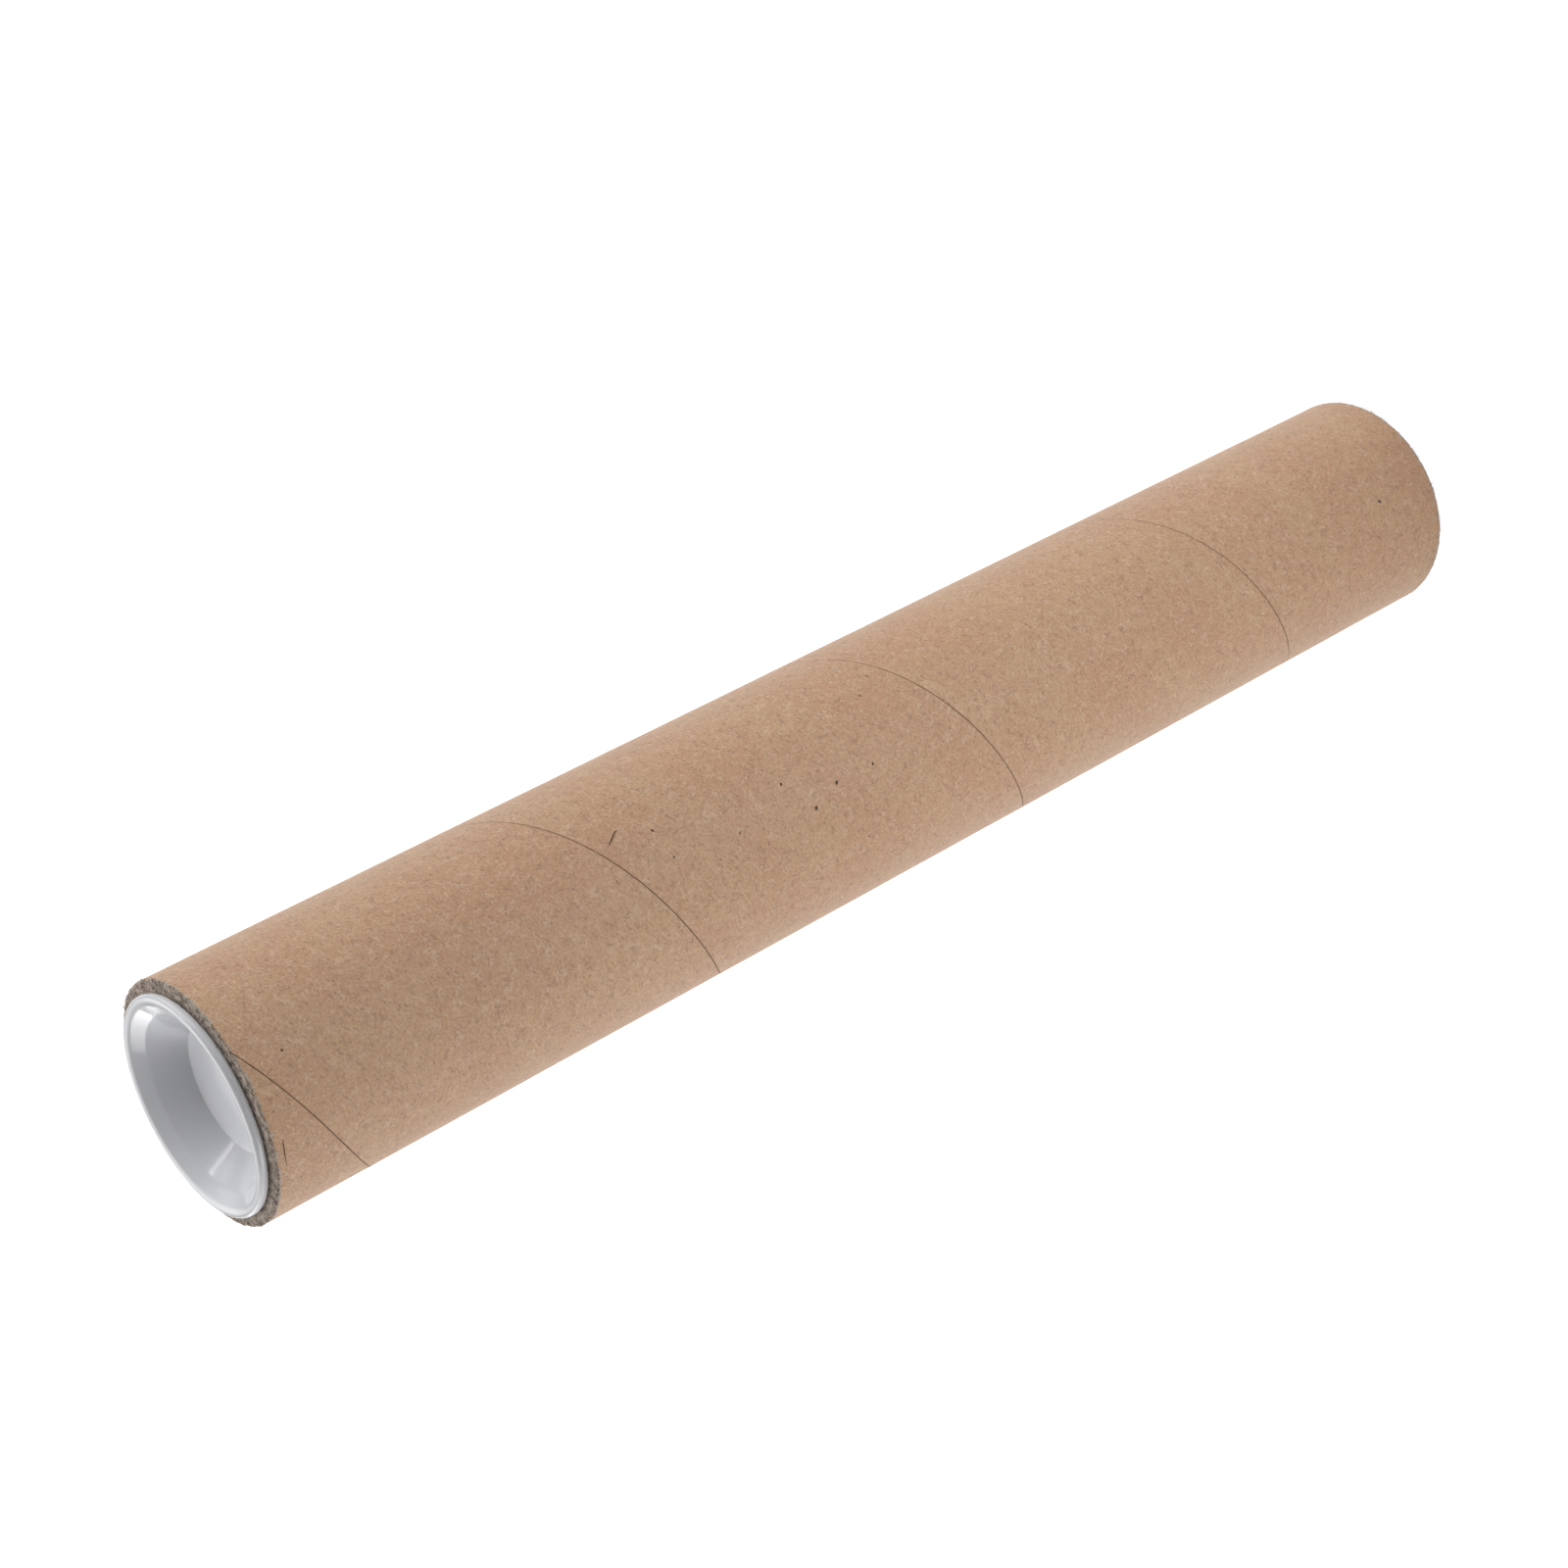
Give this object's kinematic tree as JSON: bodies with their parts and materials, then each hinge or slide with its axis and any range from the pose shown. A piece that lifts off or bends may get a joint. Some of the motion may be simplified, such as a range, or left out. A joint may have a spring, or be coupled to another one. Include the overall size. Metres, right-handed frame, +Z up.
{
  "type": "mailing tube",
  "caption": "Spirally wound kraft paperboard mailing tube with a recessed push-in plastic plug in each end, standing on one end.",
  "frame": {"origin": "centre of the underside, on the crest of the bottom cap's lip, which the tube stands on", "axes": "+Z up along the tube's axis from the bottom cap to the top cap; -Y towards the side that the picture shows"},
  "size_m": [0.0508, 0.0508, 0.3336],
  "materials": {
    "kraft_board": "matte",
    "white_plastic": "gloss"
  },
  "bodies": {
    "tube": {"tube": "kraft_board"},
    "top_cap": {"top_cap": "white_plastic"},
    "bottom_cap": {"bottom_cap": "white_plastic"}
  },
  "joints": [
    {"name": "top_cap_slide", "type": "slide", "parent": "tube", "child": "top_cap", "axis": [0, 0, 1], "range_m": [0, 0.025]},
    {"name": "bottom_cap_slide", "type": "slide", "parent": "tube", "child": "bottom_cap", "axis": [0, 0, -1], "range_m": [0, 0.025]}
  ]
}
